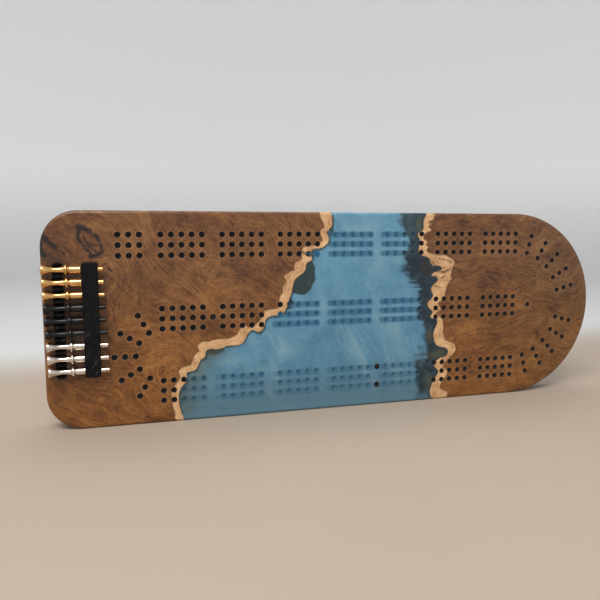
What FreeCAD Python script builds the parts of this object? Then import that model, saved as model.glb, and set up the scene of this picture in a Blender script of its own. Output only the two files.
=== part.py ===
"""Continuous-track cribbage board: two wood slabs, a resin river and nine turned pegs.

Frame, in millimetres: the board stands on its long edge.  +Z is up, +X runs along the board
from the peg end to the rounded end, and the playing face looks towards -Y.  The origin is the
middle of the bottom edge, half way through the board's thickness.
"""
import FreeCAD, Part
import Sketcher
import math
import os

V = FreeCAD.Vector

# Driving sizes in millimetres: alias, value, what it is.
SIZES = [
    ("board_length", "387", "overall length"),
    ("board_height", "132.5", "width of the board, which stands upright"),
    ("board_thickness", "19", "thickness of the slab"),
    ("corner_radius", "22", "corners at the peg end"),
    ("edge_round", "2", "rounding all round both faces"),
    ("hole_diameter", "3.7", "peg hole"),
    ("hole_depth", "10", "depth of every peg hole"),
    ("hole_pitch", "6.3", "hole to hole along a lane"),
    ("lane_gap", "6.35", "lane to lane across a street"),
    ("street_gap", "45.6", "middle lane to middle lane of neighbouring streets"),
    ("peg_length", "34.8", "whole peg"),
    ("head_length", "22.3", "decorated part of the peg"),
    ("pin_radius", "1.4", "pin that goes in a hole"),
    ("shank_radius", "2.2", "plain part next to the pin"),
    ("collar_radius", "3.1", "collar"),
    ("head_radius", "3", "flared end"),
    ("waist_radius", "1.4", "thinnest part of the waist"),
    ("flare_width", "2.3", "flared end, measured along the peg"),
    ("collar_x", "13.1", "where the collar starts, from the head end"),
    ("neck_radius", "1.9", "groove between collar and shank"),
    ("running_gap", "0.05", "radial clearance of a peg in its strip"),
    ("peg_spacing", "7.6", "peg to peg"),
    ("first_peg_z", "98", "height of the top peg"),
    ("first_peg_x", "-193.3", "head end of the top peg"),
    ("peg_creep", "0.24", "each peg sits this much further in than the one above"),
    ("peg_standoff", "3.8", "peg axis in front of the playing face"),
    ("strip_left_x", "-170.8", "left edge of the strip that holds the pins"),
    ("strip_width", "9.2", "its width"),
    ("strip_thickness", "6.6", "its thickness"),
    ("strip_height", "68.8", "its length, upright"),
    ("strip_corner", "1.5", "its corners"),
    ("strip_edge", "0.6", "rounding of its front edges"),
    ("strip_bottom_z", "33.4", "its lower end"),
    ("shank_seat", "2.6", "depth of the wider mouth of each strip bore"),
    ("rest_left_x", "-187.2", "left edge of the grooved rest strip"),
    ("rest_width", "6", "its width"),
    ("rest_thickness", "2.6", "its thickness"),
    ("rest_bottom_z", "32.4", "its lower end"),
    ("rest_height", "69.6", "its length, upright"),
    ("groove_radius", "3.25", "groove under each peg, wide enough for the collar"),
]
# Sizes worked out from the driving ones by the sheet itself.
DERIVED = [
    ("group_gap", "=6 * hole_pitch", "first hole to first hole of neighbouring groups of five"),
    ("end_radius", "=board_height / 2", "full round at the right end"),
    ("middle_z", "=board_height / 2", "middle street, which is the board's centre line"),
    ("turn_x", "=board_length / 2 - end_radius", "centre of the round end and of its turn"),
    ("first_x", "=turn_x - 40 * hole_pitch", "first column of the first group"),
    ("small_turn_z", "=middle_z - street_gap / 2", "centre of the small turn"),
    ("front_y", "=board_thickness / 2", "distance from mid thickness to the playing face"),
]

# Live edges of the two slabs where they meet the resin: (x, z), top to bottom.
LEFT_LIVE_EDGE = [
    (-16, 136), (-14, 129), (-14.5, 122.5), (-17.5, 119), (-16, 115.5), (-17.5, 111.5), (-22, 109),
    (-27.5, 107.5), (-28.5, 104.5), (-27.5, 101.5), (-31, 99.5), (-32, 95), (-35, 92), (-40, 87),
    (-41, 82), (-43.5, 75), (-46.5, 67.5), (-50.5, 65.5), (-55.5, 65), (-59, 62.5), (-60, 58),
    (-64, 55), (-67.5, 56.5), (-70, 55), (-74, 48.5), (-78, 47), (-84, 47), (-88, 45.5),
    (-93, 45.5), (-98, 44), (-98.5, 41), (-101, 39), (-105, 32.5), (-110, 31), (-110.5, 26),
    (-114, 21.5), (-115.5, 15), (-115, 9), (-112.5, 0), (-112, -4),
]
RIGHT_LIVE_EDGE = [
    (57, 136), (54, 130), (52.5, 127), (52.5, 121.5), (48.5, 118), (50, 114.5), (50, 104.5),
    (53, 103), (56.5, 102), (59, 99), (60.5, 96.2), (66, 95.8), (68, 94), (64, 92.3), (60, 89.3),
    (63, 88), (65, 86.5), (62, 83), (60, 80), (61.5, 76), (61, 73.5), (57.5, 70), (58.5, 67),
    (61.5, 62.8), (60, 59.8), (65, 58), (65.5, 54.5), (63, 49), (63, 46), (66.5, 38.8),
    (72.5, 37.2), (75, 34.5), (74, 32), (68.7, 30), (64, 24.7), (67.5, 20.5), (65.5, 16),
    (62, 8.5), (61.5, 4.5), (64, 0), (64.5, -4),
]
PEG_COLOURS = ["gold", "black", "silver"]
PEGS_PER_COLOUR = 3
PEG_COUNT = len(PEG_COLOURS) * PEGS_PER_COLOUR
HOLES_PER_GROUP = 5
GROUPS = 7
STREETS = 3
START_ROWS = 3
# Rows of holes round each turn: first angle in degrees, then (step in degrees, count) pairs.
BIG_TURN = (-75, [(15, 5), (90, 2)])
SMALL_TURN = (120, [(30, 5)])
# How far the regions that divide the board reach past it, in millimetres.
MARGIN = 10.0
CLOSE = 1e-4
# The thinnest point of a waist lies this much nearer the collar than the flared end.
WAIST_OFFSET = 0.8

doc = FreeCAD.newDocument("cribbage_board")


def make_sheet():
    """The sheet that holds every driving size."""
    sheet = doc.addObject("Spreadsheet::Sheet", "Sizes")
    for row, (alias, value, meaning) in enumerate(SIZES + DERIVED, start=1):
        sheet.set("A%d" % row, alias)
        sheet.set("B%d" % row, value)
        sheet.set("C%d" % row, meaning)
        sheet.setAlias("B%d" % row, alias)
    doc.recompute()
    return sheet


sizes = make_sheet()


def size(expression):
    """What a sheet alias or an expression of aliases is worth, in millimetres."""
    return float(sizes.evalExpression(expression.replace("Sizes.", "")))


def origin_part(body, role):
    """The origin plane or axis of a body that has this role."""
    for item in body.Origin.OriginFeatures:
        if item.Role == role:
            return item
    raise ValueError("no origin part " + role)


def new_body(name):
    body = doc.addObject("PartDesign::Body", name)
    body.Label = name
    return body


def new_sketch(body, name, plane, offset=None, turn=None):
    """A sketch on one of the body's own planes; offset and turn are sheet expressions."""
    sketch = body.newObject("Sketcher::SketchObject", name)
    sketch.AttachmentSupport = [(origin_part(body, plane), "")]
    sketch.MapMode = "FlatFace"
    for axis, expression in zip("xyz", offset or ()):
        if expression:
            sketch.setExpression("AttachmentOffset.Base." + axis, expression)
    if turn:
        sketch.AttachmentOffset = FreeCAD.Placement(V(0, 0, 0), FreeCAD.Rotation(V(0, 0, 1), turn))
    doc.recompute()
    return sketch


def drive(sketch, name, expression, *constraint):
    """Add a named dimension and bind it to a sheet expression."""
    index = sketch.addConstraint(Sketcher.Constraint(*constraint))
    sketch.renameConstraint(index, name)
    sketch.setExpression("Constraints." + name, expression)


def relate(sketch, *constraint):
    sketch.addConstraint(Sketcher.Constraint(*constraint))


def add_outline(sketch):
    """Board outline: two rounded corners at the peg end and a full round at the other."""
    half = size("board_length") / 2
    top = size("board_height")
    corner = size("corner_radius")
    turn = size("turn_x")
    left = -half + corner
    lines = [
        (V(left, 0, 0), V(turn, 0, 0)),
        (V(turn, top, 0), V(left, top, 0)),
        (V(-half, top - corner, 0), V(-half, corner, 0)),
    ]
    arcs = [
        (V(turn, top / 2, 0), top / 2, -90, 90),
        (V(left, top - corner, 0), corner, 90, 180),
        (V(left, corner, 0), corner, 180, 270),
    ]
    bottom, upper, side = [sketch.addGeometry(Part.LineSegment(a, b), False) for a, b in lines]
    round_end, top_corner, low_corner = [add_arc(sketch, *arc) for arc in arcs]
    for first, end, second, start in [
        (bottom, 2, round_end, 1),
        (round_end, 2, upper, 1),
        (upper, 2, top_corner, 1),
        (top_corner, 2, side, 1),
        (side, 2, low_corner, 1),
        (low_corner, 2, bottom, 1),
    ]:
        relate(sketch, "Tangent", first, end, second, start)
    relate(sketch, "Horizontal", bottom)
    relate(sketch, "Horizontal", upper)
    relate(sketch, "Vertical", side)
    relate(sketch, "Equal", top_corner, low_corner)
    relate(sketch, "PointOnObject", bottom, 1, -1)
    drive(sketch, "corner", "Sizes.corner_radius", "Radius", top_corner, corner)
    drive(sketch, "height", "Sizes.board_height", "DistanceY", bottom, 1, upper, 2, top)
    drive(sketch, "left_of_middle", "Sizes.board_length / 2", "DistanceX", side, 1, -1, 1, half)
    drive(sketch, "turn_from_middle", "Sizes.turn_x", "DistanceX", -1, 1, round_end, 3, turn)


def add_arc(sketch, centre, radius, start, end):
    circle = Part.Circle(centre, V(0, 0, 1), radius)
    arc = Part.ArcOfCircle(circle, math.radians(start), math.radians(end))
    return sketch.addGeometry(arc, False)


def add_pad(body, sketch, name, length, symmetric=False):
    pad = body.newObject("PartDesign::Pad", name)
    pad.Profile = sketch
    pad.setExpression("Length", length)
    if symmetric:
        pad.SideType = "Symmetric"
    body.Tip = pad
    doc.recompute()
    return pad


def add_fillet(body, base, name, radius, wanted):
    """Fillet the edges of base that the wanted test picks."""
    names = ["Edge%d" % i for i, edge in enumerate(base.Shape.Edges, start=1) if wanted(edge)]
    fillet = body.newObject("PartDesign::Fillet", name)
    fillet.Base = (base, names)
    fillet.setExpression("Radius", radius)
    body.Tip = fillet
    doc.recompute()
    return fillet


def lies_at_y(edge, y):
    """True when the whole edge lies in the plane at this y."""
    box = edge.BoundBox
    return abs(box.YMin - y) < CLOSE and abs(box.YMax - y) < CLOSE


def add_lane_circles(sketch, lanes, radius_alias, centre_on="V"):
    """Equal circles on one sketch axis, at the given sheet expressions from its origin."""
    radius = size(radius_alias) / 2
    axis = -2 if centre_on == "V" else -1
    kind = "DistanceY" if centre_on == "V" else "DistanceX"
    rings = []
    for number, (value, expression) in enumerate(lanes, start=1):
        centre = V(0, value, 0) if centre_on == "V" else V(value, 0, 0)
        ring = sketch.addGeometry(Part.Circle(centre, V(0, 0, 1), radius), False)
        rings.append(ring)
        if not expression:
            relate(sketch, "Coincident", ring, 3, -1, 1)
            continue
        relate(sketch, "PointOnObject", ring, 3, axis)
        ends = (-1, 1, ring, 3) if value > 0 else (ring, 3, -1, 1)
        drive(sketch, "place_%d" % number, expression, kind, *ends, abs(value))
    for ring in rings[1:]:
        relate(sketch, "Equal", rings[0], ring)
    drive(sketch, "bore", "Sizes." + radius_alias, "Diameter", rings[0], 2 * radius)
    doc.recompute()


def add_pocket(body, sketch, name, depth):
    """A blind pocket; fails if it did not take material away."""
    before = body.Shape.Volume
    pocket = body.newObject("PartDesign::Pocket", name)
    pocket.Profile = sketch
    pocket.setExpression("Length", depth)
    body.Tip = pocket
    doc.recompute()
    if body.Shape.Volume >= before:
        pocket.Reversed = True
        doc.recompute()
    if body.Shape.Volume >= before:
        raise ValueError(name + " removes nothing")
    return pocket


def linear(body, name, direction, spacing, count, back=False):
    pattern = body.newObject("PartDesign::LinearPattern", name)
    pattern.Direction = direction
    pattern.Mode = "Spacing"
    pattern.setExpression("Offset", spacing)
    pattern.Occurrences = count
    pattern.Reversed = back
    return pattern


def polar(body, name, sketch, step, count, back=False):
    pattern = body.newObject("PartDesign::PolarPattern", name)
    pattern.Axis = (sketch, ["N_Axis"])
    pattern.Mode = "Spacing"
    pattern.Offset = step
    pattern.Occurrences = count
    pattern.Reversed = back
    return pattern


def multiply(body, name, pocket, patterns):
    """Repeat one pocket through a chain of patterns and make the result the tip."""
    multi = body.newObject("PartDesign::MultiTransform", name)
    multi.Originals = [pocket]
    multi.Transformations = patterns
    body.Tip = multi
    doc.recompute()
    return multi


def drill_board(body):
    """Every hole of the board, from the playing face."""
    face = "Sizes.front_y"
    across = origin_part(body, "X_Axis")
    upright = origin_part(body, "Z_Axis")
    lane = size("lane_gap")
    three_lanes = [(lane, "Sizes.lane_gap"), (0, None), (-lane, "Sizes.lane_gap")]
    top_z = "Sizes.middle_z + Sizes.street_gap"

    sketch = new_sketch(body, "street_lanes", "XZ_Plane", ("Sizes.first_x", top_z, face))
    add_lane_circles(sketch, three_lanes, "hole_diameter")
    pocket = add_pocket(body, sketch, "street_first_row", "Sizes.hole_depth")
    multiply(body, "streets", pocket, [
        linear(body, "five_in_a_group", (across, [""]), "Sizes.hole_pitch", HOLES_PER_GROUP),
        linear(body, "seven_groups", (across, [""]), "Sizes.group_gap", GROUPS),
        linear(body, "three_streets", (upright, [""]), "Sizes.street_gap", STREETS, back=True),
    ])

    start_x = "Sizes.first_x - 4 * Sizes.hole_pitch"
    sketch = new_sketch(body, "start_lanes", "XZ_Plane", (start_x, top_z, face))
    add_lane_circles(sketch, three_lanes, "hole_diameter")
    pocket = add_pocket(body, sketch, "start_first_row", "Sizes.hole_depth")
    multiply(body, "start_holes", pocket, [
        linear(body, "three_start_rows", (across, [""]), "Sizes.hole_pitch", START_ROWS),
    ])

    big_centre = ("Sizes.turn_x", "Sizes.middle_z", face)
    small_centre = ("Sizes.first_x", "Sizes.small_turn_z", face)
    drill_turn(body, "big_turn", big_centre, "Sizes.street_gap", *BIG_TURN)
    drill_turn(body, "small_turn", small_centre, "Sizes.street_gap / 2", *SMALL_TURN)

    finish_x = "Sizes.first_x + 42 * Sizes.hole_pitch"
    skunk_x = "Sizes.first_x + 5 * Sizes.hole_pitch"
    double_x = "Sizes.first_x + 23 * Sizes.hole_pitch"
    low_z = "Sizes.middle_z - Sizes.street_gap"
    outer_lanes = [three_lanes[0], three_lanes[2]]
    singles = [
        ("finish", finish_x, "Sizes.middle_z", [(0, None)]),
        ("skunk", skunk_x, "Sizes.middle_z", [(0, None)]),
        ("double_skunk", double_x, low_z, outer_lanes),
    ]
    for name, x, z, lanes in singles:
        sketch = new_sketch(body, name + "_place", "XZ_Plane", (x, z, face))
        add_lane_circles(sketch, lanes, "hole_diameter")
        add_pocket(body, sketch, name + "_hole", "Sizes.hole_depth")


def drill_turn(body, name, centre, spine, first_angle, fans):
    """Rows of three holes fanned about a centre; fans are (step in degrees, count)."""
    sketch = new_sketch(body, name + "_lanes", "XZ_Plane", centre, first_angle)
    middle = size(spine)
    lane = size("lane_gap")
    rows = [
        (middle - lane, spine + " - Sizes.lane_gap"),
        (middle, spine),
        (middle + lane, spine + " + Sizes.lane_gap"),
    ]
    add_lane_circles(sketch, rows, "hole_diameter", centre_on="H")
    pocket = add_pocket(body, sketch, name + "_first_row", "Sizes.hole_depth")
    patterns = []
    for number, (step, count) in enumerate(fans, start=1):
        patterns.append(polar(body, "%s_fan_%d" % (name, number), sketch, step, count))
    multiply(body, name, pocket, patterns)


def make_blank():
    """The whole drilled board before it is divided into wood and resin."""
    body = new_body("board_blank")
    sketch = new_sketch(body, "outline", "XZ_Plane")
    add_outline(sketch)
    pad = add_pad(body, sketch, "slab", "Sizes.board_thickness", symmetric=True)
    front = size("front_y")
    add_fillet(body, pad, "round_over", "Sizes.edge_round",
               lambda edge: lies_at_y(edge, front) or lies_at_y(edge, -front))
    drill_board(body)
    return body


def make_region(name, live_edge, far_x):
    """Everything on the far_x side of a live edge, thicker and taller than the board."""
    body = new_body(name)
    sketch = new_sketch(body, name + "_outline", "XZ_Plane")
    points = [V(x, z, 0) for x, z in live_edge]
    curve = Part.BSplineCurve()
    curve.interpolate(points)
    corners = [points[-1], V(far_x, points[-1].y, 0), V(far_x, points[0].y, 0), points[0]]
    sketch.addGeometry(curve, False)
    for start, end in zip(corners, corners[1:]):
        sketch.addGeometry(Part.LineSegment(start, end), False)
    doc.recompute()
    add_pad(body, sketch, name + "_pad", "Sizes.board_thickness * 2", symmetric=True)
    return body


def make_piece(kind, name, base, tool):
    piece = doc.addObject(kind, name)
    piece.Label = name
    piece.Base = base
    piece.Tool = tool
    return piece


def make_board_pieces():
    """Left slab, resin river and right slab, cut from one drilled blank."""
    blank = make_blank()
    left = make_region("left_region", LEFT_LIVE_EDGE, -size("board_length") / 2 - MARGIN)
    right = make_region("right_region", RIGHT_LIVE_EDGE, size("board_length") / 2 + MARGIN)
    both = doc.addObject("Part::Compound", "both_regions")
    both.Links = [left, right]
    return [
        make_piece("Part::Common", "wood_left", blank, left),
        make_piece("Part::Common", "wood_right", blank, right),
        make_piece("Part::Cut", "resin_river", blank, both),
    ]


def make_plug(name, x, z):
    """A dark dowel that fills one marker hole flush with the face."""
    plug = doc.addObject("Part::Cylinder", name)
    plug.Label = name
    plug.setExpression("Radius", "Sizes.hole_diameter / 2")
    plug.setExpression("Height", "Sizes.hole_depth")
    plug.Placement = FreeCAD.Placement(V(0, 0, 0), FreeCAD.Rotation(V(1, 0, 0), -90))
    plug.setExpression("Placement.Base.x", x)
    plug.setExpression("Placement.Base.y", "-Sizes.front_y")
    plug.setExpression("Placement.Base.z", z)
    return plug


def make_plugs():
    low_z = "Sizes.middle_z - Sizes.street_gap"
    double_x = "Sizes.first_x + 23 * Sizes.hole_pitch"
    return [
        make_plug("skunk_marker", "Sizes.first_x + 5 * Sizes.hole_pitch", "Sizes.middle_z"),
        make_plug("double_skunk_marker_upper", double_x, low_z + " + Sizes.lane_gap"),
        make_plug("double_skunk_marker_lower", double_x, low_z + " - Sizes.lane_gap"),
    ]


def add_block(body, name, left, bottom, width, height, thickness):
    """A rectangular pad standing on the playing face; arguments are sheet aliases."""
    corner = ("Sizes." + left, "Sizes." + bottom, "Sizes.front_y")
    sketch = new_sketch(body, name + "_outline", "XZ_Plane", corner)
    wide = size(width)
    tall = size(height)
    ends = [V(0, 0, 0), V(wide, 0, 0), V(wide, tall, 0), V(0, tall, 0)]
    for start, end in zip(ends, ends[1:] + ends[:1]):
        sketch.addGeometry(Part.LineSegment(start, end), False)
    for line in range(4):
        relate(sketch, "Coincident", line, 2, (line + 1) % 4, 1)
    for line in (0, 2):
        relate(sketch, "Horizontal", line)
    for line in (1, 3):
        relate(sketch, "Vertical", line)
    relate(sketch, "Coincident", 0, 1, -1, 1)
    drive(sketch, "wide", "Sizes." + width, "DistanceX", 0, 1, 0, 2, wide)
    drive(sketch, "tall", "Sizes." + height, "DistanceY", 1, 1, 1, 2, tall)
    return add_pad(body, sketch, name + "_pad", "Sizes." + thickness)


def runs_along_y(edge):
    box = edge.BoundBox
    return box.YLength > 1 and box.XLength < CLOSE and box.ZLength < CLOSE


def bore_sketch(body, name, x):
    """One circle on a plane square to the pegs, at the top peg's axis."""
    offset = ("-Sizes.front_y - Sizes.peg_standoff", "Sizes.first_peg_z", x)
    return new_sketch(body, name, "YZ_Plane", offset)


def add_bores(body, name, x, radius, depth):
    """Nine bores along X, the first at the top peg."""
    sketch = bore_sketch(body, name + "_place", x)
    ring = sketch.addGeometry(Part.Circle(V(0, 0, 0), V(0, 0, 1), size(radius)), False)
    relate(sketch, "Coincident", ring, 3, -1, 1)
    drive(sketch, "bore", radius, "Radius", ring, size(radius))
    doc.recompute()
    pocket = add_pocket(body, sketch, name + "_first", depth)
    down = (origin_part(body, "Z_Axis"), [""])
    row = linear(body, name + "_row", down, "Sizes.peg_spacing", PEG_COUNT, back=True)
    multiply(body, name, pocket, [row])


def make_peg_strip():
    """Black strip with a stepped bore for each peg's shank and pin."""
    body = new_body("peg_strip")
    pad = add_block(body, "strip", "strip_left_x", "strip_bottom_z", "strip_width",
                    "strip_height", "strip_thickness")
    corners = add_fillet(body, pad, "strip_corners", "Sizes.strip_corner", runs_along_y)
    front = -size("front_y") - size("strip_thickness")
    add_fillet(body, corners, "strip_front", "Sizes.strip_edge", lambda edge: lies_at_y(edge, front))
    right = "Sizes.strip_left_x + Sizes.strip_width"
    add_bores(body, "pin_bores", right, "Sizes.pin_radius + Sizes.running_gap", "Sizes.strip_width")
    mouth = "Sizes.strip_left_x + Sizes.shank_seat"
    add_bores(body, "shank_bores", mouth, "Sizes.shank_radius + Sizes.running_gap", "Sizes.shank_seat")
    return body


def make_rest_strip():
    """Narrow black strip under the waists, grooved so that the collars can be drawn across it."""
    body = new_body("peg_rest_strip")
    pad = add_block(body, "rest", "rest_left_x", "rest_bottom_z", "rest_width",
                    "rest_height", "rest_thickness")
    add_fillet(body, pad, "rest_ends", "Sizes.rest_width * 0.45", runs_along_y)
    right = "Sizes.rest_left_x + Sizes.rest_width"
    add_bores(body, "grooves", right, "Sizes.groove_radius", "Sizes.rest_width")
    return body


def peg_outline():
    """Half profile of a peg: (distance from the head end, radius), without the waist arc."""
    head = size("head_length")
    pin = size("pin_radius")
    shank = size("shank_radius")
    collar = size("collar_radius")
    ring = size("collar_x")
    neck = size("neck_radius")
    flare = size("head_radius")
    flare_end = size("flare_width")
    end = size("peg_length")
    before_waist = [(0, 0), (0, flare - 0.6), (0.4, flare - 0.1), (0.8, flare),
                    (flare_end - 0.7, flare), (flare_end - 0.4, flare - 0.3),
                    (flare_end, flare - 0.35)]
    after_waist = [(ring, neck + 0.2), (ring + 0.1, collar - 0.2), (ring + 0.4, collar),
                   (ring + 1.2, collar), (ring + 1.5, collar - 0.2), (ring + 1.6, neck + 0.4),
                   (ring + 2, neck), (ring + 2.4, neck), (ring + 2.7, shank),
                   (head - 0.3, shank), (head, shank - 0.3), (head, pin), (end - 0.4, pin),
                   (end, pin - 0.4), (end, 0)]
    return before_waist, after_waist


def make_peg(name, number):
    """A turned peg lying along +X, head to the left."""
    body = new_body(name)
    sketch = new_sketch(body, name + "_profile", "XZ_Plane")
    before, after = peg_outline()
    before = [V(x, r, 0) for x, r in before]
    after = [V(x, r, 0) for x, r in after]
    middle = (before[-1].x + after[0].x) / 2
    waist = V(middle + WAIST_OFFSET, size("waist_radius"), 0)
    sketch.addGeometry(Part.Arc(before[-1], waist, after[0]), False)
    for chain in (before, after + before[:1]):
        for start, end in zip(chain, chain[1:]):
            sketch.addGeometry(Part.LineSegment(start, end), False)
    doc.recompute()
    turned = body.newObject("PartDesign::Revolution", name + "_turned")
    turned.Profile = sketch
    turned.ReferenceAxis = (sketch, ["H_Axis"])
    turned.Angle = 360.0
    body.Tip = turned
    body.setExpression("Placement.Base.x", "Sizes.first_peg_x + %d * Sizes.peg_creep" % number)
    body.setExpression("Placement.Base.y", "-Sizes.front_y - Sizes.peg_standoff")
    body.setExpression("Placement.Base.z", "Sizes.first_peg_z - %d * Sizes.peg_spacing" % number)
    doc.recompute()
    return body


def make_pegs():
    pegs = []
    for block, colour in enumerate(PEG_COLOURS):
        for place in range(PEGS_PER_COLOUR):
            number = block * PEGS_PER_COLOUR + place
            pegs.append(make_peg("%s_peg_%d" % (colour, place + 1), number))
    return pegs


def check(objects):
    """Stop if any object is in error or any part is not one valid solid."""
    for item in doc.Objects:
        if "Invalid" in item.State or "Error" in item.State:
            raise ValueError("%s is %s" % (item.Name, item.State))
    for item in objects:
        shape = item.Shape
        if shape.isNull() or not shape.isValid() or len(shape.Solids) != 1:
            raise ValueError("%s: %d solids" % (item.Label, len(shape.Solids)))


parts = make_board_pieces() + make_plugs() + [make_peg_strip(), make_rest_strip()] + make_pegs()
doc.recompute()
check(parts)
os.makedirs("parts", exist_ok=True)
for part in parts:
    part.Shape.exportStep("parts/%s.step" % part.Label)
    box = part.Shape.optimalBoundingBox()
    print("%-28s %10.1f mm3  x %.2f..%.2f  y %.2f..%.2f  z %.2f..%.2f" % (
        part.Label, part.Shape.Volume, box.XMin, box.XMax, box.YMin, box.YMax, box.ZMin, box.ZMax))
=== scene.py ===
import math

import bpy
import numpy as np
from mathutils import Matrix, Vector
from mathutils.geometry import delaunay_2d_cdt
from mathutils.kdtree import KDTree


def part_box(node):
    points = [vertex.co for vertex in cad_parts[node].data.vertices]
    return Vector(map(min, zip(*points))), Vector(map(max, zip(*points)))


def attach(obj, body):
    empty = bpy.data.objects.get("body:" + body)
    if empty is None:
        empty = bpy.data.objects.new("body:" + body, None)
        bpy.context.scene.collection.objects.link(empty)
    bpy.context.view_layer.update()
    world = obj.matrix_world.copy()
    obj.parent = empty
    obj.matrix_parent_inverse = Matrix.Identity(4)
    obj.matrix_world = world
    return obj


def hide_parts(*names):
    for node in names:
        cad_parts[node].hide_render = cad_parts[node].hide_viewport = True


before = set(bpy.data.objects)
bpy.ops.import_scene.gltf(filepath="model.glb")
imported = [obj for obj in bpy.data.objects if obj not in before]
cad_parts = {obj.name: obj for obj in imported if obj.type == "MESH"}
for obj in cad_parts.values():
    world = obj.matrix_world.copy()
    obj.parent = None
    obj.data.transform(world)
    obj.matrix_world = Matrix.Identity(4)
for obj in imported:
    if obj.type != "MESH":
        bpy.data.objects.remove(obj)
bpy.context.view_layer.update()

MM = 0.001


def rounded_box(node):
    """Low and high corner of a CAD node, to a thousandth of a millimetre."""
    return [[round(value / MM, 3) for value in corner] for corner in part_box(node)]


# Board layout, in millimetres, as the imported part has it.
(_, FRONT_Y, BOTTOM_Z), (_, BACK_Y, TOP_Z) = rounded_box("wood_left")
HOLE_RADIUS = (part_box("skunk_marker")[1].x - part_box("skunk_marker")[0].x) / 2 / MM
HOLE_DEPTH = 10.0
ROUNDING = 2.0
PITCH = 6.3
LANE = 6.35
STREET = 45.6
MIDDLE_Z = 66.25
TURN_X = 127.25
FIRST_X = -124.75
SMALL_TURN_Z = MIDDLE_Z - STREET / 2
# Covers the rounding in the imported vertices' places.
SLACK = 0.03
# What a hole field says where no hole is near.
NO_HOLE = 9.0

# Inner border of the pale sapwood on each slab: (x, z), top to bottom.
LEFT_SAP = [
    (-23.3, 136), (-22.3, 130.3), (-20.8, 126.5), (-19.2, 122.8), (-21.7, 120.6), (-22.3, 118.4),
    (-20.1, 114.3), (-22, 112.4), (-25.8, 110.9), (-30.8, 110.3), (-34.2, 109.3), (-35.1, 105.9),
    (-34.5, 102.8), (-37, 100.9), (-39.5, 99.9), (-39.5, 96.5), (-40.1, 94.9), (-45.1, 92.8),
    (-47, 90.9), (-45.4, 87.8), (-47, 85.3), (-47.9, 80.9), (-49.8, 77.1), (-50.1, 73.4),
    (-50.4, 70.6), (-55.1, 69.6), (-59.5, 69), (-61.5, 66), (-63, 62), (-66, 60), (-70, 58.5),
    (-73, 60.7), (-76, 57.3), (-78.4, 54), (-82.7, 51.8), (-89.4, 51.8), (-96.2, 50.6),
    (-100, 51.1), (-103.2, 48.2), (-102, 44.4), (-105.8, 41.5), (-107.7, 36.2), (-113.5, 34.8),
    (-115.9, 32.8), (-114.4, 29), (-117.8, 23.7), (-120.2, 18.9), (-119.7, 11.2), (-118.3, 6.4),
    (-118.3, 2), (-116.3, -3),
]
RIGHT_SAP = [
    (62.9, 136), (60.8, 129.8), (60.8, 128.1), (57, 126.4), (58.8, 125), (56.3, 123.6),
    (59.4, 120.8), (54.9, 119.1), (53.2, 117.3), (53.5, 114.9), (56.3, 112.5), (54.6, 111),
    (57, 109), (55.6, 106.6), (58.4, 104.8), (69.9, 103.4), (76.1, 101), (78.2, 97.9),
    (75.8, 92.3), (74.7, 88.9), (76, 86.4), (73, 83), (71.6, 78.4), (71.3, 74.3), (65.7, 69.4),
    (68.5, 64.9), (63.8, 62.2), (70.6, 57.8), (70.6, 48.7), (72.5, 42.9), (80.2, 40),
    (81.6, 35.2), (79.2, 31.9), (73.5, 27.5), (71.5, 23.7), (75.4, 19.8), (73.5, 15.5),
    (70.6, 11.2), (69.1, 7.8), (76.3, 4), (73.5, -3),
]
# Bark caught in the wood: (how much wider than a hairline, its points).
LEFT_BARK = [
    (1.0, [(-171.6, 123.2), (-169, 122), (-165.6, 120.2)]),
    (0.3, [(-171, 121.5), (-172.3, 117.1), (-170.9, 113.5), (-168.3, 110.6), (-165.7, 107.3),
           (-164.2, 105)]),
    (0.3, [(-165.6, 120.2), (-163.5, 118.5), (-161.8, 117.1), (-160, 113), (-158.8, 108.9),
           (-159.1, 106.9)]),
    (0.8, [(-159.1, 107.5), (-162.2, 105.8), (-165.3, 105.7)]),
    (0.0, [(-169, 117), (-167, 113), (-164.5, 109.5), (-162, 107.5)]),
    (1.1, [(-193, 118.5), (-189.3, 115.2)]), (0.7, [(-189.3, 115.2), (-185, 110.8)]),
    (0.2, [(-185, 110.8), (-180.3, 107.1)]), (0.9, [(-193.3, 117), (-193.2, 109), (-191, 106)]),
    (0.0, [(-156.2, 99), (-153.9, 96.5)]), (0.0, [(-36, 107.5), (-32, 105.5), (-29.5, 104)]),
]
RIGHT_BARK = [
    (0.2, [(64, 92.4), (70, 91.5), (74, 93)]), (-0.15, [(62, 88.5), (67, 87.5), (71, 88.5)]),
    (-0.1, [(54, 102), (58.5, 101), (61, 98), (65, 95), (70, 94.5)]),
    (-0.2, [(56.5, 99), (59.5, 96), (62, 94)]), (-0.2, [(66, 101), (73, 100), (76, 97)]),
    (-0.25, [(63, 82), (68, 80.5), (72, 81.5)]),
]
BARK_LINES = LEFT_BARK + RIGHT_BARK
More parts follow.
